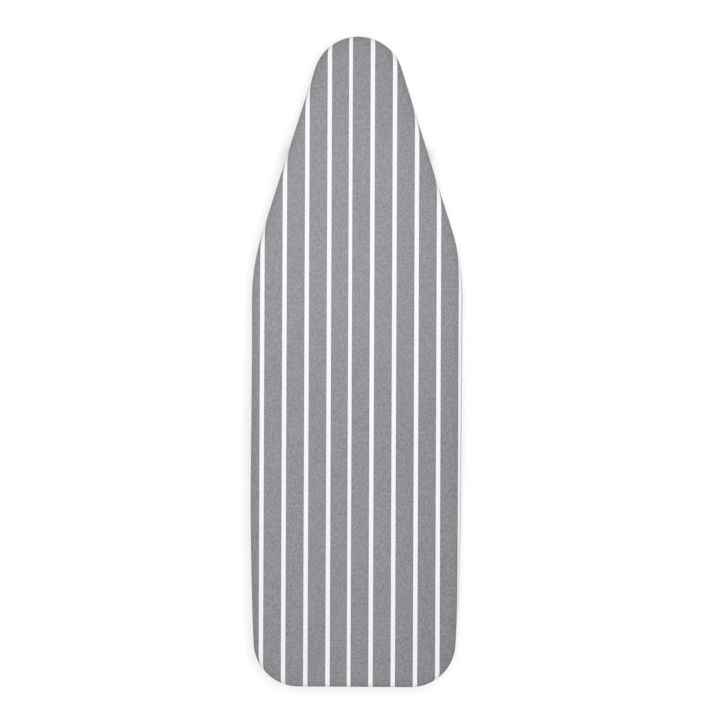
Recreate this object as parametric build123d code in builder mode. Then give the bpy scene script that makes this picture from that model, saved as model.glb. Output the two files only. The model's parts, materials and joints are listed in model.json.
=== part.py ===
"""Folding ironing board: padded steel deck on a tube rim, scissor legs and a height release.

Frame: +Z up, nose at -X, tail at +X, user at -Y. Origin on the floor under the middle of the
board. Millimetres. The board stands at its highest setting.
"""
import os
from math import asin, cos, degrees, radians, sin, sqrt

from build123d import *

os.makedirs("parts", exist_ok=True)

# ---------------------------------------------------------------- board outline
board_length = 1220.0
half_width = 198.5
nose_radius = 85.0
taper = radians(17.6)
shoulder_radius = 430.0
side_radius = 4800.0  # the long sides close in a little towards the tail
side_bend_x = 240.0
corner_radius = 85.0

nose_centre = Vector(-board_length / 2 + nose_radius, 0)
taper_normal = Vector(-sin(taper), cos(taper))
shoulder_y = half_width - shoulder_radius
taper_run = (
    (shoulder_y - nose_centre.Y) * taper_normal.Y + shoulder_radius - nose_radius
) / -taper_normal.X
shoulder_centre = Vector(nose_centre.X + taper_run, shoulder_y)
side_centre = Vector(side_bend_x, half_width - side_radius)
corner_x = board_length / 2 - corner_radius
corner_centre = Vector(
    corner_x,
    side_centre.Y + sqrt((side_radius - corner_radius) ** 2 - (corner_x - side_bend_x) ** 2),
)
side_sweep = asin((corner_x - side_bend_x) / (side_radius - corner_radius))

# ---------------------------------------------------------------- legs
leg_angle = radians(54.0)  # below the horizontal at the highest setting
leg_length = 1030.0  # from the upper pivot to the axis of the foot bar
upper_length = 460.0  # from the upper pivot to the crossing
leg_radius = 11.0
leg_wall = 1.0
inner_y = 60.0
outer_y = 92.0
foot_radius = 12.5
foot_wall = 1.2
foot_axis_z = 14.0
inner_foot_half = 165.0
outer_foot_half = 140.0

pivot_x = -365.0
pivot_z = foot_axis_z + leg_length * sin(leg_angle)
slide_x = pivot_x + 2 * upper_length * cos(leg_angle)
cross_x = pivot_x + upper_length * cos(leg_angle)
cross_z = pivot_z - upper_length * sin(leg_angle)
inner_foot_x = pivot_x + leg_length * cos(leg_angle)
outer_foot_x = slide_x - leg_length * cos(leg_angle)

# ---------------------------------------------------------------- height stack of the top
rim_radius = 8.0
rim_wall = 1.0
rim_inset = 10.5  # rim centre line inside the cover outline
rim_z = pivot_z + 16.7
deck_z = rim_z + rim_radius
deck_thickness = 1.0
pad_z = deck_z + deck_thickness
pad_thickness = 6.0
cloth = 1.0
top_z = pad_z + pad_thickness + cloth
hem_z = rim_z - rim_radius - 3.5
brace_height = 10.0
brace_width = 24.0
brace_z = deck_z - brace_height

# ---------------------------------------------------------------- rods, rails and release
fit = 0.05  # radial running clearance of a rod in its hole
pivot_rod_radius = 5.0
cross_bolt_radius = 4.0
slide_rod_radius = 6.0
front_brace_x = pivot_x - 34.0
middle_brace_x = 142.0
rear_brace_x = 562.0
rail_start_x = middle_brace_x - 11.0
rail_end_x = rear_brace_x + 13.0
rail_inner_height = 16.4
rail_sheet = 1.5
rail_web_y = 125.5
rail_lip_y = 111.0
block_gap = 0.3

shaft_radius = 4.0
shaft_y = -36.0
shaft_z = pivot_z - 13.3
comb_y = 24.0
comb_sheet = 2.0
comb_tip_z = pivot_z - slide_rod_radius - 0.4
comb_web_z = shaft_z - shaft_radius - comb_sheet
notch_pitch = 28.0
notch_count = 7
lever_x = 122.0


def nose_edges(inset, end_x):
    """+Y half of the nose, from its tip to end_x on the straight side."""
    nose = nose_radius - inset
    shoulder = shoulder_radius - inset
    CenterArc(nose_centre, nose, 180, -(90 - degrees(taper)))
    Line(nose_centre + taper_normal * nose, shoulder_centre + taper_normal * shoulder)
    CenterArc(shoulder_centre, shoulder, 90 + degrees(taper), -degrees(taper))
    Line((shoulder_centre.X, half_width - inset), (end_x, half_width - inset))


def tail_edges(inset):
    """+Y half of the tail, from the bend in the long side to the middle of the tail."""
    side = side_radius - inset
    corner = corner_radius - inset
    CenterArc(side_centre, side, 90, -degrees(side_sweep))
    CenterArc(corner_centre, corner, 90 - degrees(side_sweep), degrees(side_sweep) - 90)
    Line(corner_centre + Vector(corner, 0), (corner_centre.X + corner, 0))


def outline_half(inset):
    """Edges of the +Y half of the board outline, nose to tail, drawn inside by inset."""
    nose_edges(inset, side_bend_x)
    tail_edges(inset)


def outline_slab(inset, low, high):
    """Solid with the board outline, between two heights."""
    with BuildPart(mode=Mode.PRIVATE) as slab:
        with BuildSketch(Plane.XY.offset(low)):
            with BuildLine():
                outline_half(inset)
                mirror(about=Plane.XZ)
            make_face()
        extrude(amount=high - low)
    return slab.part


def rod(start, end, radius, wall=None):
    """Round bar between two points, hollow when a wall is given."""
    axis = Vector(*end) - Vector(*start)
    with BuildPart(mode=Mode.PRIVATE) as bar:
        with BuildSketch(Plane(origin=start, x_dir=(0, 1, 0) if abs(axis.Y) < 1 else (1, 0, 0), z_dir=axis)):
            Circle(radius)
            if wall:
                Circle(radius - wall, mode=Mode.SUBTRACT)
        extrude(amount=axis.length)
    return bar.part


def leg_point(x, z, direction, distance):
    """Point on a leg axis; direction is +1 for the inner leg and -1 for the outer leg."""
    return Vector(x + direction * distance * cos(leg_angle), 0, z - distance * sin(leg_angle))


def leg_tube(x, direction, side_y, pivot_hole):
    """Straight leg tube from its upper pivot to the foot bar, drilled and coped."""
    start = leg_point(x, pivot_z, direction, -11.0)
    end = leg_point(x, pivot_z, direction, leg_length)
    cross = leg_point(x, pivot_z, direction, upper_length)
    reach = Vector(0, leg_radius + 4, 0)
    offset_y = Vector(0, side_y, 0)
    top = Vector(x, 0, pivot_z) + offset_y
    with BuildPart() as tube:
        add(rod(start + offset_y, end + offset_y, leg_radius, leg_wall))
        add(rod(top - reach, top + reach, pivot_hole), mode=Mode.SUBTRACT)
        bolt = cross + offset_y
        add(rod(bolt - reach, bolt + reach, cross_bolt_radius + fit), mode=Mode.SUBTRACT)
        foot = end + offset_y
        add(rod(foot - reach * 2, foot + reach * 2, foot_radius + 0.1), mode=Mode.SUBTRACT)
    return tube.part


def leg_brace(x, direction, distance, side_y):
    """Cross tube between the two tubes of a leg, coped to them."""
    centre = leg_point(x, pivot_z, direction, distance)
    along = leg_point(0, 0, direction, 1) * 60
    with BuildPart() as brace:
        add(rod(centre - Vector(0, side_y, 0), centre + Vector(0, side_y, 0), 8.0, 1.0))
        for y in (-side_y, side_y):
            middle = centre + Vector(0, y, 0)
            add(rod(middle - along, middle + along, leg_radius + 0.1), mode=Mode.SUBTRACT)
    return brace.part


def foot_caps(x, half):
    """Two end caps of a foot bar, each with a flat sole."""
    length = 34.0
    with BuildPart() as caps:
        for side in (-1, 1):
            with BuildPart(mode=Mode.PRIVATE) as cap:
                plane = Plane(origin=(x, half, foot_axis_z), x_dir=(1, 0, 0), z_dir=(0, -1, 0))
                with BuildSketch(plane):
                    Circle(foot_axis_z + 1)
                    with Locations((0, 5 - foot_axis_z)):
                        Rectangle(28, 10)
                    with Locations((0, -foot_axis_z - 10)):
                        Rectangle(80, 20, mode=Mode.SUBTRACT)
                extrude(amount=length)
                chamfer(cap.faces().sort_by(Axis.Y)[-1].edges(), 2.5)
                bore = (x, half - length - 5, foot_axis_z), (x, half - 8, foot_axis_z)
                add(rod(*bore, foot_radius + fit), mode=Mode.SUBTRACT)
            if side > 0:
                add(cap.part)
            else:
                add(mirror(cap.part, about=Plane.XZ, mode=Mode.PRIVATE))
    return caps.part


def tube_plugs(x, direction, side_y):
    """Plugs that close the upper ends of both tubes of a leg."""
    start = leg_point(x, pivot_z, direction, -13.5)
    rim = leg_point(x, pivot_z, direction, -11.05)
    inside = leg_point(x, pivot_z, direction, -8.0)
    with BuildPart() as plugs:
        for y in (-side_y, side_y):
            shift = Vector(0, y, 0)
            add(rod(start + shift, rim + shift, leg_radius - 0.3))
            add(rod(rim + shift, inside + shift, leg_radius - leg_wall - 0.1))
    return plugs.part


def hex_prism(x, y, z, across, thickness):
    """Hexagon nut or bolt head with its axis along Y, starting at y."""
    with BuildPart(mode=Mode.PRIVATE) as prism:
        with BuildSketch(Plane(origin=(x, y, z), x_dir=(1, 0, 0), z_dir=(0, 1, 0))):
            RegularPolygon(across / 2, 6, major_radius=False)
        extrude(amount=thickness)
    return prism.part


def box_brace(x):
    """Flat box tube across the rim, trimmed to the inner side of the rim tubes."""
    with BuildPart() as brace:
        with Locations((x, 0, brace_z + brace_height / 2)):
            Box(brace_width, 2 * half_width, brace_height)
        fillet(brace.edges().filter_by(Axis.Y), 2)
        with Locations((x, 0, brace_z + brace_height / 2)):
            Box(brace_width - 2.4, 2 * half_width, brace_height - 2.4, mode=Mode.SUBTRACT)
        inner = rim_inset + rim_radius + 0.2
        add(outline_slab(inner, brace_z - 1, deck_z + 1), mode=Mode.INTERSECT)
    return brace.part


def guide_rail(side):
    """Channel that opens towards the middle, with its web carried up to the braces."""
    half = rail_inner_height / 2
    length = rail_end_x - rail_start_x
    with BuildPart() as rail:
        with BuildSketch(Plane(origin=(rail_start_x, 0, 0), x_dir=(0, 1, 0), z_dir=(1, 0, 0))):
            for z in (pivot_z - half - rail_sheet / 2, pivot_z + half + rail_sheet / 2):
                with Locations((side * (rail_lip_y + rail_web_y) / 2, z)):
                    Rectangle(rail_web_y - rail_lip_y + 0.2, rail_sheet)
            low = pivot_z - half - rail_sheet
            with Locations((side * (rail_web_y + rail_sheet / 2), (low + brace_z) / 2)):
                Rectangle(rail_sheet, brace_z - low)
        extrude(amount=length)
    return rail.part


def pivot_bracket(side):
    """Plate under the front brace that holds one end of the pivot rod."""
    with BuildPart() as plate:
        with BuildSketch(Plane(origin=(0, side * 74.0, 0), x_dir=(1, 0, 0), z_dir=(0, -1, 0))):
            with Locations((front_brace_x, brace_z - 3)):
                Rectangle(brace_width, 6)
            with Locations((pivot_x, pivot_z)):
                Circle(12)
            make_hull()
            with Locations((pivot_x, pivot_z)):
                Circle(pivot_rod_radius + fit, mode=Mode.SUBTRACT)
            with Locations(((pivot_x + front_brace_x) / 2, pivot_z + 4)):
                Circle(4, mode=Mode.SUBTRACT)
        extrude(amount=-side * 3.0)
    return plate.part


def shaft_hanger(x):
    """Plate under a brace with the bearing hole of the release shaft."""
    with BuildPart() as plate:
        with BuildSketch(Plane(origin=(x, 0, 0), x_dir=(0, 1, 0), z_dir=(1, 0, 0))):
            with Locations((shaft_y, brace_z - 3)):
                Rectangle(22, 6)
            with Locations((shaft_y, shaft_z)):
                Circle(9)
            make_hull()
            with Locations((shaft_y, shaft_z)):
                Circle(shaft_radius + fit, mode=Mode.SUBTRACT)
        extrude(amount=2)
    return plate.part


# ================================================================ top: soft parts
with BuildPart() as cover_inside:
    add(outline_slab(cloth, hem_z + cloth, top_z - cloth))
    fillet(cover_inside.faces().sort_by(Axis.Z)[-1].edges(), 4 - cloth)
    fillet(cover_inside.faces().sort_by(Axis.Z)[0].edges(), 3 - cloth)

with BuildPart() as cover:
    add(outline_slab(0, hem_z, top_z))
    fillet(cover.faces().sort_by(Axis.Z)[-1].edges(), 4)
    fillet(cover.faces().sort_by(Axis.Z)[0].edges(), 3)
    add(cover_inside.part, mode=Mode.SUBTRACT)
    add(outline_slab(30, hem_z - 5, hem_z + cloth * 2), mode=Mode.SUBTRACT)

with BuildPart() as foam_pad:
    add(outline_slab(3.5, pad_z, pad_z + pad_thickness))
    fillet(foam_pad.faces().sort_by(Axis.Z)[-1].edges(), 3)

# ================================================================ top: deck and rim
diamond_long = 60.0
diamond_short = 25.0
strand = 4.0
deck_inset = 5.0


def inside_outline(x, y, inset):
    """True when a point lies inside the board outline by at least inset."""
    y = abs(y)
    if x < nose_centre.X + taper_normal.X * nose_radius:
        return (Vector(x, y) - nose_centre).length < nose_radius - inset
    if x < shoulder_centre.X:
        along = (Vector(x, y) - nose_centre).dot(taper_normal)
        arc = (Vector(x, y) - shoulder_centre).length
        return along < nose_radius - inset and arc < shoulder_radius - inset
    if x > corner_centre.X and y > corner_centre.Y:
        return (Vector(x, y) - corner_centre).length < corner_radius - inset
    bend = half_width - max(0, x - side_bend_x) ** 2 / (2 * side_radius)
    return y < bend - inset and x < board_length / 2 - inset


diamond_points = []
rows = int(board_length / diamond_short)
for row in range(-rows, rows + 1):
    for column in range(-4, 5):
        x = row * diamond_short / 2
        y = column * diamond_long + (diamond_long / 2 if row % 2 else 0)
        tips = [(x, y + diamond_long / 2), (x, y - diamond_long / 2), (x - 10, y), (x + 10, y)]
        if all(inside_outline(tip_x, tip_y, 16) for tip_x, tip_y in tips):
            diamond_points.append((x, y))

with BuildPart() as steel_deck:
    with BuildSketch(Plane.XY.offset(deck_z)):
        with BuildLine():
            outline_half(deck_inset)
            mirror(about=Plane.XZ)
        make_face()
        with Locations(*diamond_points):
            half_x = diamond_short / 2 - strand / 2
            half_y = diamond_long / 2 - strand
            Polygon((-half_x, 0), (0, -half_y), (half_x, 0), (0, half_y), mode=Mode.SUBTRACT)
    extrude(amount=deck_thickness)


def rim_tube(nose_side):
    """Bent rim tube of the nose or of the tail, ending on the long sides at x = 0."""
    with BuildPart() as tube:
        with BuildLine() as path:
            if nose_side:
                nose_edges(rim_inset, 0)
            else:
                Line((0, half_width - rim_inset), (side_bend_x, half_width - rim_inset))
                tail_edges(rim_inset)
            mirror(about=Plane.XZ)
        wire = path.wires()[0]
        with BuildSketch(Plane(origin=wire @ 0, z_dir=wire % 0)):
            Circle(rim_radius)
            Circle(rim_radius - rim_wall, mode=Mode.SUBTRACT)
        sweep(path=wire)
    return Pos(0, 0, rim_z) * tube.part


rim_nose_tube = rim_tube(True)
rim_tail_tube = rim_tube(False)

with BuildPart() as rim_sleeves:
    for side in (-1, 1):
        y = side * (half_width - rim_inset)
        add(rod((-30, y, rim_z), (30, y, rim_z), rim_radius - rim_wall - 0.1, 1.0))

# ================================================================ top: braces, rails, pivots
front_brace = box_brace(front_brace_x)
middle_brace = box_brace(middle_brace_x)
rear_brace = box_brace(rear_brace_x)
rail_left = guide_rail(1)
rail_right = guide_rail(-1)

with BuildPart() as rail_stops:
    for side in (-1, 1):
        for x in (rail_start_x + 3, rail_end_x - 3):
            with Locations((x, side * (rail_web_y - 7.2), pivot_z)):
                Box(5, 14, rail_inner_height - 0.2)

pivot_bracket_left = pivot_bracket(1)
pivot_bracket_right = pivot_bracket(-1)

with BuildPart() as pivot_rod:
    add(rod((pivot_x, -82, pivot_z), (pivot_x, 82, pivot_z), pivot_rod_radius))

with BuildPart() as pivot_caps:
    for side in (-1, 1):
        plane = Plane(origin=(pivot_x, side * 77.2, pivot_z), x_dir=(1, 0, 0), z_dir=(0, side, 0))
        with BuildSketch(plane):
            Circle(9)
        extrude(amount=7)
    fillet(pivot_caps.faces().sort_by(Axis.Y)[-1].edges(), 2)
    fillet(pivot_caps.faces().sort_by(Axis.Y)[0].edges(), 2)
    reach = 82.1
    bore = rod((pivot_x, -reach, pivot_z), (pivot_x, reach, pivot_z), pivot_rod_radius + 0.02)
    add(bore, mode=Mode.SUBTRACT)

hanger_front = shaft_hanger(middle_brace_x + 5)
hanger_rear = shaft_hanger(rear_brace_x + 4)

# ================================================================ height release
with BuildPart() as latch_shaft:
    add(rod((lever_x - 8, shaft_y, shaft_z), (rear_brace_x + 12, shaft_y, shaft_z), shaft_radius))

comb_start_x = middle_brace_x + 10
comb_end_x = rear_brace_x + 1
with BuildPart() as latch_comb:
    web_low_y = shaft_y - 4
    with BuildSketch(Plane.XY.offset(comb_web_z)):
        with Locations(((comb_start_x + comb_end_x) / 2, (web_low_y + comb_y) / 2)):
            Rectangle(comb_end_x - comb_start_x, comb_y - web_low_y)
        with Locations((comb_start_x - 8, 10)):
            Rectangle(18, 20)
        for slot in range(5):
            with Locations((comb_start_x + 50 + slot * 78, (shaft_y + comb_y) / 2 + 3)):
                SlotOverall(50, 16, mode=Mode.SUBTRACT)
    extrude(amount=comb_sheet)
    with Locations(((comb_start_x + comb_end_x) / 2, comb_y, (comb_web_z + comb_tip_z) / 2)):
        Box(comb_end_x - comb_start_x, comb_sheet, comb_tip_z - comb_web_z)
    stow_x = pivot_x + 2 * upper_length * cos(radians(3))
    for x in [slide_x + notch * notch_pitch for notch in range(notch_count)] + [stow_x]:
        with Locations((x, comb_y, comb_tip_z)):
            Box(slide_rod_radius * 2 + 2, comb_sheet * 2, 12, mode=Mode.SUBTRACT)

with BuildPart() as lever_arm:
    arm_z = pivot_z - 2
    grip_z = pivot_z - 25
    with BuildLine(Plane(origin=(lever_x, 0, 0), x_dir=(0, 1, 0), z_dir=(1, 0, 0))) as arm_path:
        FilletPolyline(
            (shaft_y, shaft_z),
            (shaft_y - 10, arm_z),
            (-112, arm_z),
            (-148, grip_z),
            (-184, grip_z),
            radius=7,
        )
    arm_wire = arm_path.wires()[0]
    with BuildSketch(Plane(origin=arm_wire @ 0, z_dir=arm_wire % 0)):
        Circle(4)
    sweep(path=arm_wire)
    shaft_cut = rod((lever_x - 30, shaft_y, shaft_z), (lever_x + 30, shaft_y, shaft_z), shaft_radius + fit)
    add(shaft_cut, mode=Mode.SUBTRACT)
    with Locations((lever_x, shaft_y, shaft_z - 10)):
        Box(30, 30, 20, mode=Mode.SUBTRACT)

with BuildPart() as lever_grip:
    with Locations((lever_x, -175, grip_z)):
        Box(88, 30, 13)
    fillet(lever_grip.edges().filter_by(Axis.Z), 12)
    fillet(lever_grip.faces().sort_by(Axis.Z)[-1].edges(), 4)
    fillet(lever_grip.faces().sort_by(Axis.Z)[0].edges(), 4)
    add(rod((lever_x, -184.2, grip_z), (lever_x, -150, grip_z), 4 + fit), mode=Mode.SUBTRACT)

with BuildPart() as shaft_clips:
    for x in (middle_brace_x + 3.6, rear_brace_x + 6.3):
        add(rod((x, shaft_y, shaft_z), (x + 1.1, shaft_y, shaft_z), 7))
    clip_bore = rod((0, shaft_y, shaft_z), (board_length / 2, shaft_y, shaft_z), shaft_radius + 0.02)
    add(clip_bore, mode=Mode.SUBTRACT)

spring_low_z = comb_web_z + comb_sheet + 1.0
spring_high_z = brace_z - 1.0
with BuildPart() as latch_spring:
    with BuildLine() as coil:
        Helix(
            pitch=2.6,
            height=spring_high_z - spring_low_z,
            radius=4,
            center=(middle_brace_x, 10, spring_low_z),
        )
    with BuildSketch(Plane(origin=coil.edges()[0] @ 0, z_dir=coil.edges()[0] % 0)):
        Circle(0.6)
    sweep(path=coil.edges()[0], is_frenet=True)

# ================================================================ inner leg
inner_tube_left = leg_tube(pivot_x, 1, inner_y, pivot_rod_radius + fit)
inner_tube_right = leg_tube(pivot_x, 1, -inner_y, pivot_rod_radius + fit)
inner_brace = leg_brace(pivot_x, 1, upper_length + 340, inner_y)
inner_foot_caps = foot_caps(inner_foot_x, inner_foot_half)
inner_tube_plugs = tube_plugs(pivot_x, 1, inner_y)

with BuildPart() as inner_foot_bar:
    half = inner_foot_half - 8.2
    ends = (inner_foot_x, -half, foot_axis_z), (inner_foot_x, half, foot_axis_z)
    add(rod(*ends, foot_radius, foot_wall))

with BuildPart() as pivot_washers:
    for side in (-1, 1):
        y = inner_y + leg_radius + 0.2
        add(rod((pivot_x, side * y, pivot_z), (pivot_x, side * (y + 2.6), pivot_z), 9))
    bore = rod((pivot_x, -80, pivot_z), (pivot_x, 80, pivot_z), pivot_rod_radius + fit)
    add(bore, mode=Mode.SUBTRACT)

bolt_head_y = outer_y + leg_radius + 1.5
with BuildPart() as cross_bolts:
    for side in (-1, 1):
        near = (cross_x, side * (inner_y - leg_radius - 9), cross_z)
        add(rod(near, (cross_x, side * bolt_head_y, cross_z), cross_bolt_radius))
        start = bolt_head_y if side > 0 else -bolt_head_y - 5
        add(hex_prism(cross_x, start, cross_z, 13, 5))

with BuildPart() as cross_nuts:
    for side in (-1, 1):
        start = inner_y - leg_radius - 7 if side > 0 else -inner_y + leg_radius + 0.5
        add(hex_prism(cross_x, start, cross_z, 13, 6.5))
    shank = rod((cross_x, -90, cross_z), (cross_x, 90, cross_z), cross_bolt_radius + 0.02)
    add(shank, mode=Mode.SUBTRACT)

with BuildPart() as cross_spacers:
    for side in (-1, 1):
        low = side * (inner_y + leg_radius + 0.2)
        high = side * (outer_y - leg_radius - 0.3)
        add(rod((cross_x, low, cross_z), (cross_x, high, cross_z), 9))
    add(shank, mode=Mode.SUBTRACT)

# ================================================================ outer leg
outer_tube_left = leg_tube(slide_x, -1, outer_y, slide_rod_radius + fit)
outer_tube_right = leg_tube(slide_x, -1, -outer_y, slide_rod_radius + fit)
outer_brace = leg_brace(slide_x, -1, upper_length + 320, outer_y)
outer_foot_caps = foot_caps(outer_foot_x, outer_foot_half)
outer_tube_plugs = tube_plugs(slide_x, -1, outer_y)

with BuildPart() as outer_foot_bar:
    half = outer_foot_half - 8.2
    ends = (outer_foot_x, -half, foot_axis_z), (outer_foot_x, half, foot_axis_z)
    add(rod(*ends, foot_radius, foot_wall))

with BuildPart() as slide_rod:
    add(rod((slide_x, -118, pivot_z), (slide_x, 118, pivot_z), slide_rod_radius))


def slide_block(side):
    """Plastic runner on one end of the slide rod."""
    low_y = outer_y + leg_radius + 3
    high_y = rail_web_y - block_gap
    height = rail_inner_height - 2 * block_gap
    with BuildPart() as block:
        with Locations((slide_x, side * (low_y + high_y) / 2, pivot_z)):
            Box(30, high_y - low_y, height)
        fillet(block.edges().filter_by(Axis.Y), 2)
        tip = side * 118.2
        bore = rod((slide_x, side * 90, pivot_z), (slide_x, tip, pivot_z), slide_rod_radius + fit)
        add(bore, mode=Mode.SUBTRACT)
    return block.part


slide_block_left = slide_block(1)
slide_block_right = slide_block(-1)

# ================================================================ write every sub-part
named_parts = {
    "cover": cover.part,
    "foam_pad": foam_pad.part,
    "steel_deck": steel_deck.part,
    "rim_nose_tube": rim_nose_tube,
    "rim_tail_tube": rim_tail_tube,
    "rim_sleeves": rim_sleeves.part,
    "front_brace": front_brace,
    "middle_brace": middle_brace,
    "rear_brace": rear_brace,
    "rail_left": rail_left,
    "rail_right": rail_right,
    "rail_stops": rail_stops.part,
    "pivot_bracket_left": pivot_bracket_left,
    "pivot_bracket_right": pivot_bracket_right,
    "pivot_rod": pivot_rod.part,
    "pivot_caps": pivot_caps.part,
    "hanger_front": hanger_front,
    "hanger_rear": hanger_rear,
    "latch_spring": latch_spring.part,
    "latch_shaft": latch_shaft.part,
    "latch_comb": latch_comb.part,
    "lever_arm": lever_arm.part,
    "lever_grip": lever_grip.part,
    "shaft_clips": shaft_clips.part,
    "inner_tube_left": inner_tube_left,
    "inner_tube_right": inner_tube_right,
    "inner_brace": inner_brace,
    "inner_foot_bar": inner_foot_bar.part,
    "inner_foot_caps": inner_foot_caps,
    "inner_tube_plugs": inner_tube_plugs,
    "pivot_washers": pivot_washers.part,
    "cross_bolts": cross_bolts.part,
    "cross_nuts": cross_nuts.part,
    "cross_spacers": cross_spacers.part,
    "outer_tube_left": outer_tube_left,
    "outer_tube_right": outer_tube_right,
    "outer_brace": outer_brace,
    "outer_foot_bar": outer_foot_bar.part,
    "outer_foot_caps": outer_foot_caps,
    "outer_tube_plugs": outer_tube_plugs,
    "slide_rod": slide_rod.part,
    "slide_block_left": slide_block_left,
    "slide_block_right": slide_block_right,
}
for name, part in named_parts.items():
    part.label = name
    export_step(part, f"parts/{name}.step")
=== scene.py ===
"""Looks of the folding ironing board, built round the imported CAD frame. Metres, row frame."""
import json
import math

import bmesh
import bpy
import numpy as np
from mathutils import Matrix, Vector, noise
from mathutils.bvhtree import BVHTree


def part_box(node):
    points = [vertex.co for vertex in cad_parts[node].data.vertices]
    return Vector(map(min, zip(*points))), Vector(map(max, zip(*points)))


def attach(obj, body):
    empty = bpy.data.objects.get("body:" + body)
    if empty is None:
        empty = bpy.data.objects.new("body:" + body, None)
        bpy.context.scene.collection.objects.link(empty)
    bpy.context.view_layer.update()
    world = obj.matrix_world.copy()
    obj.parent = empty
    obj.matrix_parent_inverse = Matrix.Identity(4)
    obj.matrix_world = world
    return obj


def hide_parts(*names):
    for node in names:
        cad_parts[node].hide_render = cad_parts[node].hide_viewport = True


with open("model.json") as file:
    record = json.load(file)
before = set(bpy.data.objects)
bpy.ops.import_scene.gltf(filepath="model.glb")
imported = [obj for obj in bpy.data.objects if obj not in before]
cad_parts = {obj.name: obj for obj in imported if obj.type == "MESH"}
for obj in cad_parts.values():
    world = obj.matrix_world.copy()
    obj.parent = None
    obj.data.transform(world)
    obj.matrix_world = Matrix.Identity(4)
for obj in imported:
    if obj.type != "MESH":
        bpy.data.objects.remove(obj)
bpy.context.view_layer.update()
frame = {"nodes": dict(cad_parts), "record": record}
nodes = frame["nodes"]

MM = 0.001
cover_low, cover_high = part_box("cover")
pad_low, pad_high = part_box("foam_pad")

# ------------------------------------------------------------------ board outline
half_length = (cover_high.x - cover_low.x) / 2
half_width = (cover_high.y - cover_low.y) / 2
nose_radius = 85 * MM
taper = math.radians(17.6)
shoulder_radius = 430 * MM
side_radius = 4800 * MM
side_bend_x = 240 * MM
corner_radius = 85 * MM

nose_centre = np.array([-half_length + nose_radius, 0])
taper_normal = np.array([-math.sin(taper), math.cos(taper)])
shoulder_y = half_width - shoulder_radius
taper_run = (shoulder_y * taper_normal[1] + shoulder_radius - nose_radius) / -taper_normal[0]
shoulder_centre = np.array([nose_centre[0] + taper_run, shoulder_y])
side_centre = np.array([side_bend_x, half_width - side_radius])
corner_x = half_length - corner_radius
corner_drop = math.sqrt((side_radius - corner_radius) ** 2 - (corner_x - side_bend_x) ** 2)
corner_centre = np.array([corner_x, side_centre[1] + corner_drop])
side_sweep = math.asin((corner_x - side_bend_x) / (side_radius - corner_radius))


def outline(count, bend_share=0.0):
    """(points, outward normals, run, bend in 1/m) round the board, nose to +Y side to tail."""
    points, normals = [], []

    def arc(centre, radius, start, end):
        for t in np.linspace(start, end, max(4, int(abs(end - start) * radius / 0.0005))):
            normal = np.array([math.cos(t), math.sin(t)])
            points.append(centre + radius * normal)
            normals.append(normal)

    quarter = math.pi / 2
    arc(nose_centre, nose_radius, math.pi, quarter + taper)
    arc(shoulder_centre, shoulder_radius, quarter + taper, quarter)
    arc(side_centre, side_radius, quarter, quarter - side_sweep)
    arc(corner_centre, corner_radius, quarter - side_sweep, 0)
    points.append(np.array([half_length, 0.0]))
    normals.append(np.array([1.0, 0.0]))
    points, normals = np.array(points), np.array(normals)
    run = np.concatenate([[0], np.cumsum(np.linalg.norm(np.diff(points, axis=0), axis=1))])
    turn = np.concatenate([[0], np.cumsum(np.linalg.norm(np.diff(normals, axis=0), axis=1))])
    pace = run + bend_share * turn
    at = np.interp(np.linspace(0, pace[-1], count // 2 + 1), pace, run)
    half = np.stack([np.interp(at, run, points[:, k]) for k in (0, 1)], axis=1)
    facing = np.stack([np.interp(at, run, normals[:, k]) for k in (0, 1)], axis=1)
    facing /= np.linalg.norm(facing, axis=1)[:, None]
    reach = 0.012
    bend = (np.interp(at + reach, run, turn) - np.interp(at - reach, run, turn)) / (2 * reach)
    bend[at < reach] = 1 / nose_radius
    flip = np.array([1, -1])
    loop = np.concatenate([half, half[-2:0:-1] * flip])
    facing = np.concatenate([facing, facing[-2:0:-1] * flip])
    return (
        loop,
        facing,
        np.concatenate([at, 2 * run[-1] - at[-2:0:-1]]),
        np.concatenate([bend, bend[-2:0:-1]]),
        2 * run[-1],
    )


def spine(points):
    """The point of the board's middle line that each outline point fans out from."""
    x = np.clip(points[:, 0], nose_centre[0], half_length - 150 * MM)
    return np.stack([x, np.zeros(len(points))], axis=1)


def ring_mesh(name, rings, **attributes):
    """Mesh of quads between equal rings of 3-D points; attributes give a vector per point."""
    count = len(rings[0])
    verts = np.concatenate(rings)
    index = np.arange(count)
    following = (index + 1) % count
    faces = []
    for k in range(len(rings) - 1):
        a, b = k * count, (k + 1) * count
        faces += [
            (a + i, a + j, b + j, b + i) for i, j in zip(index.tolist(), following.tolist())
        ]
    mesh = bpy.data.meshes.new(name)
    mesh.from_pydata(verts.tolist(), [], faces)
    for key, values in attributes.items():
        layer = mesh.attributes.new(key, "FLOAT_VECTOR", "POINT")
        layer.data.foreach_set("vector", np.concatenate(values).astype(np.float32).ravel())
    bm = bmesh.new()
    bm.from_mesh(mesh)
    bmesh.ops.remove_doubles(bm, verts=bm.verts, dist=1e-6)
    bmesh.ops.dissolve_degenerate(bm, edges=bm.edges, dist=1e-7)
    bmesh.ops.recalc_face_normals(bm, faces=bm.faces)
    bm.to_mesh(mesh)
    bm.free()
    mesh.polygons.foreach_set("use_smooth", [True] * len(mesh.polygons))
    mesh.update()
    piece = bpy.data.objects.new(name, mesh)
    bpy.context.scene.collection.objects.link(piece)
    return piece


def with_z(points, z):
    return np.column_stack([points, np.broadcast_to(z, len(points))])


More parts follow.
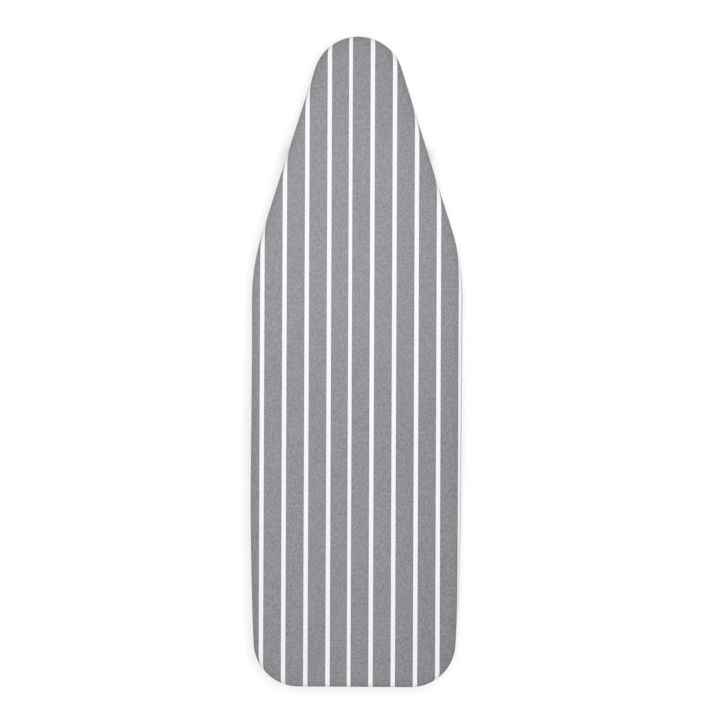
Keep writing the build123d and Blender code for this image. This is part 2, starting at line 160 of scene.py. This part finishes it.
# ------------------------------------------------------------------ node helpers
class Graph:
    """Short way to write a material's nodes."""

    def __init__(self, name):
        self.material = bpy.data.materials.new(name)
        self.material.use_nodes = True
        self.tree = self.material.node_tree
        self.shader = self.tree.nodes["Principled BSDF"]

    def node(self, kind, settings=None, **inputs):
        made = self.tree.nodes.new(kind)
        for key, value in (settings or {}).items():
            setattr(made, key, value)
        for key, value in inputs.items():
            socket = made.inputs[int(key[1:]) if key[0] == "i" and key[1:].isdigit() else key]
            self.put(socket, value)
        return made

    def put(self, socket, value):
        if isinstance(value, bpy.types.NodeSocket):
            self.tree.links.new(value, socket)
        else:
            socket.default_value = value

    def math(self, operation, a, b=0.0, c=0.0):
        return self.node("ShaderNodeMath", {"operation": operation}, i0=a, i1=b, i2=c).outputs[0]

    def mix(self, factor, a, b):
        made = self.tree.nodes.new("ShaderNodeMix")
        made.data_type = "RGBA"
        self.put(made.inputs[0], factor)
        self.put(made.inputs[6], a)
        self.put(made.inputs[7], b)
        return made.outputs[2]

    def smooth(self, value, low, high, to_low=0.0, to_high=1.0):
        made = self.node("ShaderNodeMapRange", {"interpolation_type": "SMOOTHSTEP"})
        for socket, v in zip(made.inputs, (value, low, high, to_low, to_high)):
            self.put(socket, v)
        return made.outputs[0]

    def noise(self, vector, scale, detail=2.0, rough=0.5):
        made = self.node("ShaderNodeTexNoise")
        self.put(made.inputs["Vector"], vector)
        self.put(made.inputs["Scale"], scale)
        self.put(made.inputs["Detail"], detail)
        self.put(made.inputs["Roughness"], rough)
        return made.outputs[0]

    def combine(self, x, y, z=0.0):
        return self.node("ShaderNodeCombineXYZ", None, i0=x, i1=y, i2=z).outputs[0]

    def bump(self, height, distance, strength):
        made = self.node("ShaderNodeBump")
        self.put(made.inputs["Strength"], strength)
        self.put(made.inputs["Distance"], distance)
        self.put(made.inputs["Height"], height)
        return made.outputs[0]

    def set(self, **values):
        for key, value in values.items():
            self.put(self.shader.inputs[key.replace("_", " ")], value)


def rgb(r, g, b):
    return (r, g, b, 1.0)


# ------------------------------------------------------------------ materials
STRIPE_PITCH = 41.66 * MM
STRIPE_HALF = 4.15 * MM
STRIPE_LEFT = -11.8 * MM  # where the left-hand repeat puts a stripe's middle
STRIPE_RIGHT = -14.55 * MM  # and the right-hand repeat
REPEAT_CUT = -17.35 * MM  # the two repeats meet at the edge of the middle stripe
OFF_GRAIN = -0.0026  # the cloth lies this much askew on the board
YARN = 0.55 * MM
DARK_WARP = (0.1925, 0.194, 0.209)
PALE_WEFT = (0.316, 0.318, 0.337)
WHITE_YARN = (0.750, 0.750, 0.757)
THREAD = (0.60, 0.60, 0.62)
STITCH = 3.2 * MM
FLECK = 4.8 * MM  # length of the light and dark places in a yarn
HEATHER = 0.20  # how far a yarn's tone swings
MOTTLE = 0.205  # how far the tone swings where many yarns are dark or pale together


def cotton_material(stitch_line):
    """Yarn-dyed cotton: grey warp with paler weft, and narrow white warp stripes."""
    g = Graph("striped_cotton")
    flat = g.node("ShaderNodeAttribute", {"attribute_name": "flat"}).outputs["Vector"]
    parts = g.node("ShaderNodeSeparateXYZ", None, i0=flat)
    along, inset = parts.outputs[0], parts.outputs[2]
    across = g.math("MULTIPLY_ADD", along, OFF_GRAIN, parts.outputs[1])

    # stripes: distance from the nearest stripe's middle
    left_side = g.math("LESS_THAN", across, REPEAT_CUT)
    start = g.math("MULTIPLY_ADD", left_side, STRIPE_LEFT - STRIPE_RIGHT, STRIPE_RIGHT)
    shifted = g.math("ADD", g.math("SUBTRACT", across, start), STRIPE_PITCH / 2)
    wrapped = g.math("FLOORED_MODULO", shifted, STRIPE_PITCH)
    away = g.math("ABSOLUTE", g.math("SUBTRACT", wrapped, STRIPE_PITCH / 2))
    ragged = g.noise(flat, 420.0, 1.0)
    away = g.math("MULTIPLY_ADD", g.math("SUBTRACT", ragged, 0.5), 0.5 * MM, away)
    white = g.smooth(away, STRIPE_HALF - 0.2 * MM, STRIPE_HALF + 0.2 * MM, 1.0, 0.0)
    beside = g.smooth(away, STRIPE_HALF + 0.4 * MM, STRIPE_HALF + 2.4 * MM, 1.0, 0.0)

    # plain weave: warp yarns run along the board, weft yarns across it
    warp_at = g.math("DIVIDE", across, YARN)
    weft_at = g.math("DIVIDE", along, YARN)
    warp_crown = g.math("ABSOLUTE", g.math("SINE", g.math("MULTIPLY", warp_at, math.pi)))
    weft_crown = g.math("ABSOLUTE", g.math("SINE", g.math("MULTIPLY", weft_at, math.pi)))
    warp_id, weft_id = g.math("FLOOR", warp_at), g.math("FLOOR", weft_at)
    warp_over = g.math("FLOORED_MODULO", g.math("ADD", warp_id, weft_id), 2.0)
    weft_over = g.math("SUBTRACT", 1.0, warp_over)
    height = g.math(
        "ADD",
        g.math("MULTIPLY", warp_crown, warp_over),
        g.math("MULTIPLY", weft_crown, weft_over),
    )

    # heather: every yarn has its own light and dark places
    def flecks(yarn_id, place, layer):
        spot = g.combine(g.math("MULTIPLY", yarn_id, 1.37), g.math("DIVIDE", place, FLECK), layer)
        return g.smooth(g.noise(spot, 1.0, 1.0), 0.34, 0.66)

    warp_fleck = g.math("MULTIPLY", flecks(warp_id, along, 2.5), warp_over)
    weft_fleck = g.math("MULTIPLY", flecks(weft_id, across, 7.5), weft_over)
    fleck = g.math("ADD", warp_fleck, weft_fleck)
    mottle = g.smooth(g.noise(flat, 1 / FLECK, 1.0), 0.34, 0.66)
    slub = g.noise(
        g.combine(g.math("MULTIPLY", along, 420.0), g.math("MULTIPLY", across, 30.0)), 1.0, 3.0, 0.6
    )
    cloud = g.noise(flat, 7.0, 3.0, 0.55)
    tone = g.math("MULTIPLY", g.math("SUBTRACT", fleck, 0.5), HEATHER)
    tone = g.math("MULTIPLY_ADD", g.math("SUBTRACT", mottle, 0.5), MOTTLE, tone)
    tone = g.math("MULTIPLY_ADD", g.math("SUBTRACT", slub, 0.5), 0.18, tone)
    tone = g.math("MULTIPLY_ADD", g.math("SUBTRACT", cloud, 0.5), 0.08, tone)
    tone = g.math("MULTIPLY_ADD", beside, -0.10, tone)
    # painted shade, standing in for the light falling off: the cloth is darker near and over its
    # edge, towards the nose tip, from the middle towards the tail, and towards the +Y side
    painted_shade = [
        g.smooth(inset, 4 * MM, 26 * MM, 0.06, 0.0),
        g.smooth(along, -0.12, 0.10, 0.0, 0.065),
        g.smooth(along, 0.28, 0.60, 0.0, 0.032),
        g.smooth(along, -0.38, -0.58, 0.0, 0.07),
        g.smooth(across, 0.0, 0.19, 0.0, 0.07),
    ]
    # the cloth's tone, with the painted shade taken off it below
    factor = g.math("ADD", 1.0, tone)
    for shade in painted_shade:
        factor = g.math("SUBTRACT", factor, shade)

    yarn = g.mix(g.math("MULTIPLY", weft_over, 0.9), rgb(*DARK_WARP), rgb(*PALE_WEFT))
    grey = g.node("ShaderNodeVectorMath", {"operation": "SCALE"})
    g.put(grey.inputs[0], yarn)
    g.put(grey.inputs["Scale"], factor)
    paper = g.node("ShaderNodeVectorMath", {"operation": "SCALE"})
    paper.inputs[0].default_value = WHITE_YARN
    g.put(paper.inputs["Scale"], g.math("MULTIPLY_ADD", tone, 0.04, 1.0))
    cloth = g.mix(white, grey.outputs[0], paper.outputs[0])

    # topstitching beside the elastic's casing
    hem = g.node("ShaderNodeAttribute", {"attribute_name": "hem"}).outputs["Vector"]
    hem_parts = g.node("ShaderNodeSeparateXYZ", None, i0=hem)
    off_line = g.math("ABSOLUTE", g.math("SUBTRACT", hem_parts.outputs[1], stitch_line))
    in_line = g.smooth(off_line, 0.25 * MM, 0.5 * MM, 1.0, 0.0)
    pace = g.math("FRACT", g.math("DIVIDE", hem_parts.outputs[0], STITCH))
    from_middle = g.math("ABSOLUTE", g.math("SUBTRACT", pace, 0.5))
    sewn = g.math("MULTIPLY", in_line, g.smooth(from_middle, 0.3, 0.38, 1.0, 0.0))
    g.set(Base_Color=g.mix(sewn, cloth, rgb(*THREAD)))
    g.set(Roughness=0.86, Sheen_Weight=0.12, Sheen_Roughness=0.45)
    g.shader.inputs["Specular IOR Level"].default_value = 0.18
    raised = g.math("MULTIPLY_ADD", slub, 0.5, height)
    raised = g.math("MULTIPLY_ADD", sewn, 2.0, raised)
    g.set(Normal=g.bump(raised, 0.12 * MM, 0.55))
    return g.material


def object_vector(g):
    return g.node("ShaderNodeTexCoord").outputs["Object"]


def felt_material():
    g = Graph("pad_felt")
    where = object_vector(g)
    fibre = g.noise(where, 900.0, 4.0, 0.7)
    tuft = g.noise(where, 120.0, 3.0, 0.6)
    colour = g.mix(fibre, rgb(0.56, 0.53, 0.46), rgb(0.80, 0.77, 0.70))
    g.set(Base_Color=g.mix(g.math("MULTIPLY", tuft, 0.3), colour, rgb(0.62, 0.60, 0.55)))
    g.set(Roughness=0.95, Sheen_Weight=0.3)
    g.set(Normal=g.bump(g.math("ADD", fibre, tuft), 0.5 * MM, 0.6))
    return g.material


def paint_material(name, colour, dirt):
    """Powder coat: fine orange peel, slight mottling and small darker specks."""
    g = Graph(name)
    where = object_vector(g)
    peel = g.noise(where, 620.0, 2.0, 0.5)
    cloud = g.noise(where, 14.0, 4.0, 0.6)
    specks = g.smooth(g.noise(where, 420.0, 3.0, 0.7), 0.70, 0.80)
    body = g.mix(g.math("MULTIPLY", cloud, 0.35), rgb(*colour), rgb(*[c * 0.84 for c in colour]))
    g.set(Base_Color=g.mix(g.math("MULTIPLY", specks, 0.14), body, rgb(*dirt)))
    g.set(Roughness=g.smooth(cloud, 0.3, 0.7, 0.34, 0.46))
    g.set(Normal=g.bump(peel, 0.07 * MM, 0.25))
    g.shader.inputs["Coat Weight"].default_value = 0.15
    return g.material


def steel_material(name, colour, rough, streak):
    """Zinc-plated steel with drawing marks and a cloudy plating."""
    g = Graph(name)
    where = object_vector(g)
    stretched = g.node("ShaderNodeMapping", None, Vector=where)
    stretched.inputs["Scale"].default_value = streak
    lines = g.noise(stretched.outputs[0], 60.0, 4.0, 0.7)
    cloud = g.noise(where, 60.0, 3.0, 0.6)
    tint = g.mix(cloud, rgb(*colour), rgb(*[c * 0.78 for c in colour]))
    g.set(Base_Color=g.mix(g.math("MULTIPLY", lines, 0.3), tint, rgb(*[c * 0.62 for c in colour])))
    g.shader.inputs["Metallic"].default_value = 1.0
    g.set(Roughness=g.smooth(lines, 0.3, 0.7, rough - 0.07, rough + 0.08))
    g.set(Normal=g.bump(lines, 0.05 * MM, 0.3))
    return g.material


def plastic_material(name, colour, rough):
    """Moulded plastic: spark-eroded grain, faint flow clouds and rubbed shine."""
    g = Graph(name)
    where = object_vector(g)
    grain = g.node("ShaderNodeTexVoronoi", {"feature": "F1"}, Vector=where, Scale=1300.0)
    cloud = g.noise(where, 45.0, 3.0, 0.6)
    g.set(Base_Color=g.mix(cloud, rgb(*colour), rgb(*[min(1, c * 1.35 + 0.01) for c in colour])))
    g.set(Roughness=g.smooth(cloud, 0.3, 0.7, rough - 0.08, rough + 0.06))
    g.set(Normal=g.bump(grain.outputs["Distance"], 0.08 * MM, 0.4))
    return g.material


felt = felt_material()
slot_materials = {
    "deck_steel": paint_material("deck_enamel", (0.46, 0.47, 0.49), (0.27, 0.27, 0.27)),
    "frame_paint": paint_material("frame_powder_coat", (0.50, 0.51, 0.53), (0.30, 0.30, 0.30)),
    "zinc_steel": steel_material("zinc_plate", (0.62, 0.63, 0.64), 0.34, (0.6, 6.0, 6.0)),
    "spring_steel": steel_material("spring_wire", (0.42, 0.42, 0.43), 0.3, (4.0, 4.0, 1.0)),
    "dark_plastic": plastic_material("dark_plastic", (0.035, 0.038, 0.043), 0.5),
    "white_nylon": plastic_material("white_nylon", (0.70, 0.70, 0.67), 0.42),
}
node_slots = {row["node"]: row["material_slot"] for row in frame["record"]["subparts"]}
for name, obj in nodes.items():
    if node_slots[name] in slot_materials:
        obj.data.materials.clear()
        obj.data.materials.append(slot_materials[node_slots[name]])


# how far the cloth lies towards +Y, in mm, at places along the board in metres
NEAR_PLACES = [-0.61, -0.40, -0.12, 0.00, 0.10, 0.20, 0.38, 0.55]
NEAR_SHIFT = [-1.6, -1.5, 0, 0.6, 0.4, 0, 0, -1.6]
FAR_PLACES = [-0.61, -0.40, -0.25, -0.08, 0.36, 0.45, 0.55]
FAR_SHIFT = [-1.6, -1.5, -0.7, -2.3, -2.3, -0.9, -1.6]
SIDE_CHANGE = 0.12  # width over which the user's side passes into the far side


def askew(points):
    """The cloth and its pad lie a little off centre, and are drawn tighter along the far side."""
    near = np.interp(points[:, 0], NEAR_PLACES, NEAR_SHIFT)
    far = np.interp(points[:, 0], FAR_PLACES, FAR_SHIFT)
    share = np.clip(0.5 + points[:, 1] / SIDE_CHANGE, 0, 1)  # 1 on the far side
    off = near + (far - near) * share
    return points + np.column_stack([np.zeros(len(points)), off * MM])


# ------------------------------------------------------------------ the cover
AROUND = 2400
loop, facing, arc_at, bend, perimeter = outline(AROUND, bend_share=0.25)
loop = askew(loop)
top_z = cover_high.z


def gathers(wavelength, seed, drift_size):
    """Uneven pucker wave round the hem, from -1 to 1, with no step where the loop closes."""
    local = np.random.default_rng(seed)
    phase = 2 * math.pi * arc_at / perimeter
    drift = sum(
        local.normal(0, 1.0 / k) * np.sin(k * phase + local.uniform(0, 2 * math.pi))
        for k in range(5, 40)
    )
    return np.sin(round(perimeter / wavelength) * phase + drift_size * drift)


PUCKER = 14.5 * MM  # from fold to fold, measured along the board's edge
LARGEST_PUCKER = 4.4 * MM
fold = gathers(PUCKER, 3, 3.0)
ripple = gathers(PUCKER * 0.43, 4, 5.0)
uneven = 0.85 + 0.25 * gathers(PUCKER * 5.3, 5, 4.0)

# the cloth's line across the edge: (inset from the outline, height below the top), in mm
section = [
    (22.0, 0.0), (16.0, 0.03), (12.0, 0.16), (9.0, 0.5), (6.6, 1.1), (4.6, 2.1), (3.1, 3.4),
    (2.0, 4.9), (1.1, 6.9), (0.5, 9.3), (0.15, 12.0), (0.0, 14.6), (0.1, 17.0), (0.4, 19.2),
    (1.0, 21.2), (2.0, 23.0), (3.4, 24.5), (5.2, 25.6), (7.4, 26.3), (9.8, 26.7), (12.4, 26.9),
    (15.0, 27.0), (17.6, 27.0), (20.0, 26.9), (22.2, 26.8), (24.2, 26.7), (25.8, 26.7),
]
HEM_RADIUS = 2.0
HEM_MIDDLE = (27.2, 25.0)
HEM_START, HEM_STEPS = len(section), 10
for step in range(HEM_STEPS):  # the elastic's casing, rolled back on itself
    turn = math.radians(-60 + step * 30)
    rolled_in = HEM_MIDDLE[0] + HEM_RADIUS * math.sin(turn)
    rolled_down = HEM_MIDDLE[1] + HEM_RADIUS * math.cos(turn)
    section.append((rolled_in, rolled_down))
section = np.array(section)
along_section = np.gradient(section, axis=0)
out_of_cloth = np.column_stack([-along_section[:, 1], along_section[:, 0]])
out_of_cloth /= -np.linalg.norm(out_of_cloth, axis=1)[:, None]
steps = np.linalg.norm(np.diff(section, axis=0), axis=1)
beyond = np.concatenate([[0], np.cumsum(steps)]) - section[0, 0]

TOP_RINGS = 18  # from the middle line to the start of the edge
SWELL = 0.15 * MM  # how far the flat top is from flat
rings, flats, hems = [], [], []
middle = spine(loop)
first = loop - facing * section[0, 0] * MM
for share in np.linspace(0, 1, TOP_RINGS)[:-1]:
    points = middle + (first - middle) * share
    swell = np.array([noise.noise(Vector((x * 9, y * 9, 1.7))) for x, y in points])
    rings.append(with_z(points, top_z - SWELL + SWELL * swell * (1 - share**6)))
    to_edge = section[0, 0] * MM + np.linalg.norm(first - points, axis=1)
    flats.append(with_z(points, to_edge))
    hems.append(with_z(np.column_stack([arc_at, -to_edge]), 0))

BIAS_GIVE = 0.12  # how much fullness the cloth takes up by giving on the bias
for k, (inset, drop) in enumerate(section):
    held = min(k, HEM_START - 1)  # the casing follows the cloth that it ends
    room, cut = section[held, 0] * MM, beyond[held] * MM
    fullness = (1 + bend * cut) / (1 - bend * room)
    eased = np.clip(fullness - BIAS_GIVE, 1, None) - 1
    eased += 0.05 * max(0.0, (beyond[held] - 24.0) / 30.0)
    slope = 2 * np.sqrt(eased) * (1 + 0.27 * eased)
    size = slope * PUCKER * (1 - bend * room) / (2 * math.pi) * uneven
    size = np.minimum(size, LARGEST_PUCKER)
    lift = size * (0.92 * fold + 0.16 * ripple + 0.75)
    normal = out_of_cloth[held]
    out = -inset * MM - normal[0] * lift
    z = top_z - drop * MM - normal[1] * lift
    rings.append(with_z(loop + facing * out[:, None], z))
    flats.append(with_z(loop + facing * beyond[k] * MM, -beyond[k] * MM))
    hems.append(with_z(np.column_stack([arc_at, np.full(AROUND, beyond[k] * MM)]), 0))
cover = ring_mesh("cotton_cover", rings, flat=flats, hem=hems)


SETTLE_FRAMES = 14
SETTLE_CAP = 3.5 * MM  # no point of the cloth moves further than this
CUT_OFF = -2 * MM  # cloth further in than this isn't simulated, as a reach beyond the edge
HELD_REACH, FREE_REACH = 8 * MM, 13 * MM  # held up to the first, then freer over the second
ELASTIC_HOLD = 0.55


def settle_skirt(piece):
    """Let the skirt and hem of the cover settle as cloth, held by the edge and the elastic."""
    mesh = piece.data
    count = len(mesh.vertices)
    start = np.empty(count * 3, np.float32)
    mesh.vertices.foreach_get("co", start)
    start = start.reshape(-1, 3)
    flat = np.empty(count * 3, np.float32)
    mesh.attributes["flat"].data.foreach_get("vector", flat)
    reach = -flat.reshape(-1, 3)[:, 2]  # how far beyond the edge of the board the cloth is
    free = np.clip((reach - HELD_REACH) / FREE_REACH, 0, 1)
    casing = beyond[HEM_START - 1] * MM
    weight = np.where(reach > casing - 1 * MM, ELASTIC_HOLD, 1 - free * 0.98)

    copy = bpy.data.objects.new("skirt_cloth", mesh.copy())
    bpy.context.scene.collection.objects.link(copy)
    order = copy.data.attributes.new("order", "INT", "POINT")
    order.data.foreach_set("value", np.arange(count, dtype=np.int32))
    bm = bmesh.new()
    bm.from_mesh(copy.data)
    bm.verts.ensure_lookup_table()
    above = [v for v in bm.verts if reach[v.index] < CUT_OFF]
    bmesh.ops.delete(bm, geom=above, context="VERTS")
    bm.to_mesh(copy.data)
    bm.free()
    kept = np.empty(len(copy.data.vertices), np.int32)
    copy.data.attributes["order"].data.foreach_get("value", kept)
    group = copy.vertex_groups.new(name="held")
    for i, v in enumerate(kept):
        group.add([i], float(weight[v]), "REPLACE")

    modifier = copy.modifiers.new("settle", "CLOTH")
    settings = modifier.settings
    settings.quality = 6
    settings.mass = 0.15
    settings.tension_stiffness = 25
    settings.compression_stiffness = 12
    settings.shear_stiffness = 8
    settings.bending_stiffness = 0.02
    settings.tension_damping = settings.compression_damping = 15
    settings.shear_damping = 10
    settings.air_damping = 4
    settings.vertex_group_mass = "held"
    settings.pin_stiffness = 4
    settings.shrink_min = -0.035
    settings.effector_weights.gravity = 0.6
    modifier.collision_settings.use_collision = False
    scene = bpy.context.scene
    modifier.point_cache.frame_start, modifier.point_cache.frame_end = 1, SETTLE_FRAMES
    for frame_number in range(1, SETTLE_FRAMES + 1):
        scene.frame_set(frame_number)
    settled = copy.evaluated_get(bpy.context.evaluated_depsgraph_get()).to_mesh()
    moved = np.empty(len(kept) * 3, np.float32)
    settled.vertices.foreach_get("co", moved)
    shift = moved.reshape(-1, 3) - start[kept]
    length = np.linalg.norm(shift, axis=1)
    shift *= np.minimum(1, SETTLE_CAP / np.maximum(length, 1e-9))[:, None]
    start[kept] += shift
    scene.frame_set(1)
    mesh.vertices.foreach_set("co", start.ravel())
    mesh.update()
    spare = copy.data
    bpy.data.objects.remove(copy)
    bpy.data.meshes.remove(spare)


def outer_skin(tube, bore=15.5 * MM):
    """The outside of a hollow tube: faces that don't look across its bore."""
    corners = [vertex.co for vertex in tube.vertices]
    whole = BVHTree.FromPolygons(corners, [tuple(face.vertices) for face in tube.polygons])
    outside = [
        tuple(face.vertices)
        for face in tube.polygons
        if whole.ray_cast(face.center + face.normal * 0.01 * MM, face.normal, bore)[0] is None
    ]
    return BVHTree.FromPolygons(corners, outside)


def rest_on(piece, tube, gap=0.4 * MM, search=9 * MM):
    """Lift cloth that would sink into a tube back onto its outside."""
    skin = outer_skin(tube)
    for vertex in piece.data.vertices:
        spot, normal, _, _ = skin.find_nearest(vertex.co, search)
        if spot is not None:
            height = (vertex.co - spot).dot(normal)
            if height < gap:
                vertex.co += normal * (gap - height)


settle_skirt(cover)
for tube_name in ("rim_nose_tube", "rim_tail_tube"):
    rest_on(cover, nodes[tube_name].data)
cover.data.materials.append(cotton_material(beyond[HEM_START - 2] * MM))
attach(cover, "top")
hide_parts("cover")

# ------------------------------------------------------------------ the pad under it
PAD_AROUND = 720
pad_loop, pad_facing, _, _, _ = outline(PAD_AROUND)
pad_loop = askew(pad_loop)
pad_inset = half_length - pad_high.x
pad_rings = []
pad_middle = spine(pad_loop)
CLEAR = 1.1  # between the cloth's outside and the pad, in mm
pad_bottom = (top_z - pad_low.z) / MM - 0.1
pad_edge = [(i + CLEAR, drop + CLEAR) for i, drop in section[:9] if drop < pad_bottom - CLEAR]
pad_edge = [(max(inset, pad_inset / MM), drop) for inset, drop in pad_edge]
for share in np.linspace(0, 1, 12):
    foot = pad_loop - pad_facing * (pad_edge[-1][0] + 0.4) * MM
    points = pad_middle + (foot - pad_middle) * share
    pad_rings.append(with_z(points, pad_low.z + 0.1 * MM))
for inset, drop in reversed(pad_edge):
    edge = pad_loop - pad_facing * inset * MM
    pad_rings.append(with_z(edge, top_z - drop * MM))
last = pad_rings[-1][:, :2]
for share in np.linspace(1, 0, 24)[1:]:
    points = pad_middle + (last - pad_middle) * share
    soft = np.array([noise.noise(Vector((x * 30, y * 30, 3))) for x, y in points]) * 0.1 * MM
    pad_rings.append(with_z(points, top_z - (CLEAR + 0.1) * MM + soft))
pad = ring_mesh("felt_pad", pad_rings)
pad.data.materials.append(felt)
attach(pad, "top")
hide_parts("foam_pad")

# ------------------------------------------------------------------ expanded-metal deck
deck_low, deck_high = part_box("steel_deck")
LONG_WAY, SHORT_WAY = 15.0 * MM, 7.5 * MM  # one diamond, across and along the board
STRAND = 1.15 * MM
STRAND_TILT = 0.25 * MM  # the strands lean, as they do in metal that was slit and drawn out
EDGE_MARGIN, SIDE_MARGIN = 12 * MM, 8 * MM  # no diamond nearer to the outline than this
BAND = (3.5 * MM, 18.0 * MM)  # the plain border, as insets from the outline
deck_top, deck_thick = deck_high.z - 0.05 * MM, 0.8 * MM


def inside_distance(x, y):
    """Distance from a point inside the board to its outline."""
    return np.min(np.hypot(deck_loop[:, 0] - x, deck_loop[:, 1] - y))


deck_loop, deck_facing, _, _, _ = outline(480)
verts, faces = [], []
half_x, half_y = SHORT_WAY / 2, LONG_WAY / 2
shrink_x = half_x - STRAND * math.hypot(half_x, half_y) / half_y
shrink_y = half_y - STRAND * math.hypot(half_x, half_y) / half_x
columns = int(half_length / half_x)
rows = int(half_width / half_y)
widest = np.interp(
    np.arange(-columns, columns + 1) * half_x,
    deck_loop[: len(deck_loop) // 2, 0],
    deck_loop[: len(deck_loop) // 2, 1],
)
for i in range(-columns, columns + 1):
    for j in range(-rows, rows + 1):
        x, y = i * half_x, j * half_y
        if (i + j) % 2 or abs(y) > widest[i + columns] - SIDE_MARGIN:
            continue
        if inside_distance(x, y) < EDGE_MARGIN:
            continue
        base = len(verts)
        for z in (deck_top, deck_top - deck_thick):
            for kx, ky in ((1, 0), (0, 1), (-1, 0), (0, -1)):
                verts.append((x + kx * half_x, y + ky * half_y, z))
            for kx, ky in ((1, 0), (0, 1), (-1, 0), (0, -1)):
                verts.append((x + kx * shrink_x, y + ky * shrink_y, z - STRAND_TILT * kx))
        for k in range(4):
            n = (k + 1) % 4
            top, low = base, base + 8
            faces.append((top + k, top + n, top + 4 + n, top + 4 + k))
            faces.append((low + k, low + 4 + k, low + 4 + n, low + n))
            faces.append((top + 4 + k, top + 4 + n, low + 4 + n, low + 4 + k))
deck_mesh = bpy.data.meshes.new("expanded_deck")
deck_mesh.from_pydata(verts, [], faces)
deck = bpy.data.objects.new("expanded_deck", deck_mesh)
bpy.context.scene.collection.objects.link(deck)
band_rings = []
band_low, band_high = deck_top - deck_thick - 0.35 * MM, deck_top + 0.03 * MM
for inset, z in (
    (BAND[0], band_high), (BAND[1], band_high), (BAND[1] + 0.5 * MM, deck_top - deck_thick / 2),
    (BAND[1], band_low), (BAND[0], band_low), (BAND[0] - 0.4 * MM, deck_top - deck_thick / 2),
    (BAND[0], band_high),
):
    band_rings.append(with_z(deck_loop - deck_facing * inset, z))
band = ring_mesh("deck_border", band_rings)
for piece in (deck, band):
    piece.data.materials.append(slot_materials["deck_steel"])
    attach(piece, "top")
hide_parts("steel_deck")

# ------------------------------------------------------------------ floor, light, camera
SKY = 0.665
KEY_POWER = 34.5
KEY_SPREAD = 60.0
KEY_SHIFT = (0.044, 0.016)  # to the picture's right and up, in metres
KEY_SIZE = 0.60
KEY_TARGET_X = -0.26
SIDE_POWER = 14.0
SIDE_PLACE = (0.4, 3.4, 2.4)
SIDE_TARGET = (0, 0, 0.45)
SIDE_SIZE = (2.4, 1.2)
FLOOR_REACH = 30.0
floor_mesh = bpy.data.meshes.new("floor")
floor_corners = [
    (x * FLOOR_REACH, y * FLOOR_REACH, 0) for x, y in ((-1, -1), (1, -1), (1, 1), (-1, 1))
]
floor_mesh.from_pydata(floor_corners, [], [(0, 1, 2, 3)])
floor = bpy.data.objects.new("floor", floor_mesh)
bpy.context.scene.collection.objects.link(floor)
g = Graph("studio_floor")
g.set(Base_Color=rgb(0.96, 0.96, 0.96), Roughness=0.9)
g.shader.inputs["Specular IOR Level"].default_value = 0.0
below = g.node("ShaderNodeNewGeometry").outputs["Backfacing"]
clear = g.node("ShaderNodeBsdfTransparent").outputs[0]
blend = g.node("ShaderNodeMixShader", None, i0=below, i1=g.shader.outputs[0], i2=clear)
output = g.tree.nodes["Material Output"]
g.tree.links.new(blend.outputs[0], output.inputs["Surface"])
floor_mesh.materials.append(g.material)

scene = bpy.context.scene
world = bpy.data.worlds.new("studio")
scene.world = world
world.use_nodes = True
sky = world.node_tree.nodes["Background"]
sky.inputs["Color"].default_value = rgb(1.0, 1.0, 1.0)
sky.inputs["Strength"].default_value = SKY


def softbox(name, energy, location, target, size, size_y=None, spread=180):
    data = bpy.data.lights.new(name, "AREA")
    data.energy = energy
    data.shape = "DISK" if size_y is None else "RECTANGLE"
    data.size = size
    if size_y is not None:
        data.size_y = size_y
    data.spread = math.radians(spread)
    obj = bpy.data.objects.new(name, data)
    bpy.context.scene.collection.objects.link(obj)
    obj.location = location
    aim = Vector(target) - Vector(location)
    obj.rotation_mode = "QUATERNION"
    obj.rotation_quaternion = aim.to_track_quat("-Z", "Y")
    obj.visible_camera = False


scene.view_settings.view_transform = "Standard"
scene.view_settings.look = "None"

CAMERA_DISTANCE = 8.0
SENSOR = 36.0
SCALE = 1.873 * MM  # width of ironing surface for each of the picture's 720 points
camera_data = bpy.data.cameras.new("camera")
camera_data.sensor_width = SENSOR
camera_data.lens = SENSOR * CAMERA_DISTANCE / (720 * SCALE)
camera_data.clip_end = 100.0
camera = bpy.data.objects.new("camera", camera_data)
scene.collection.objects.link(camera)
roll = math.radians(0.38)  # the board lies this far from upright in the picture
up = Vector((-math.cos(roll), -math.sin(roll), 0))
right = up.cross(Vector((0, 0, 1)))
AIM_UP, AIM_RIGHT = 3.27775 * MM, 5.0571 * MM  # the camera looks this far from the board's middle
aim = up * AIM_UP + right * AIM_RIGHT
basis = Matrix((right, up, Vector((0, 0, 1)))).transposed()
camera_place = Vector((aim.x, aim.y, top_z + CAMERA_DISTANCE))
camera.matrix_world = Matrix.Translation(camera_place) @ basis.to_4x4()
scene.camera = camera

key_place = camera_place + right * KEY_SHIFT[0] + up * KEY_SHIFT[1]
softbox("key", KEY_POWER, key_place, (KEY_TARGET_X, 0.0, top_z), KEY_SIZE, spread=KEY_SPREAD)
for side in (-1, 1):
    side_place = (SIDE_PLACE[0] * side, SIDE_PLACE[1] * side, SIDE_PLACE[2])
    softbox("side_box", SIDE_POWER, side_place, SIDE_TARGET, *SIDE_SIZE)
